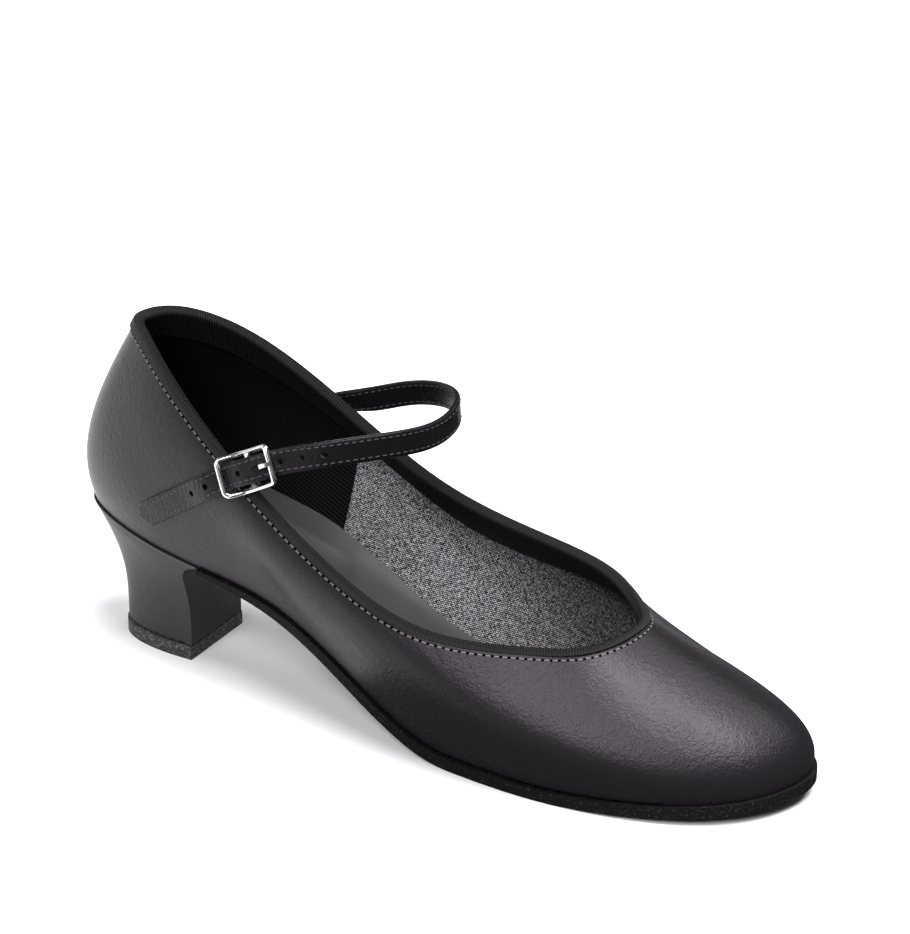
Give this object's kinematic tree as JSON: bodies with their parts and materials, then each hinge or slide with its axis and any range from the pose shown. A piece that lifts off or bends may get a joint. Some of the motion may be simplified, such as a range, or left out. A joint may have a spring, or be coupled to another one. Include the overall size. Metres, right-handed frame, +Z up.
{
  "type": "character shoe",
  "caption": "Right character shoe in black synthetic leather: low-cut rounded vamp, ribbon-bound collar, buckled instep strap, thin sole and covered flared heel.",
  "frame": {"origin": "middle of the shoe's box in plan, on the plane that the heel and the ball of the sole stand on", "axes": "+X to the toe, +Y to the inner side of the foot, +Z up"},
  "size_m": [0.2518, 0.0832, 0.1092],
  "materials": {
    "upper_leather": "smooth black synthetic leather with a fine grain and a satin sheen",
    "binding_ribbon": "black ribbed ribbon",
    "insole_board": "smooth dark grey coated sock",
    "sole_composition": "black fibrous composition, matt",
    "heel_cover": "the same synthetic leather drawn over the heel block",
    "top_piece_rubber": "black speckled rubber, matt",
    "strap_leather": "folded black synthetic leather, stitched along both edges",
    "buckle_nickel": "bright nickel plated wire"
  },
  "bodies": {
    "root": {"upper": "upper_leather", "topline_binding": "binding_ribbon", "insole": "insole_board", "outsole": "sole_composition", "heel": "heel_cover", "top_piece": "top_piece_rubber", "ankle_strap": "strap_leather", "buckle_tab": "strap_leather", "buckle_frame": "buckle_nickel", "buckle_prong": "buckle_nickel"}
  },
  "joints": []
}
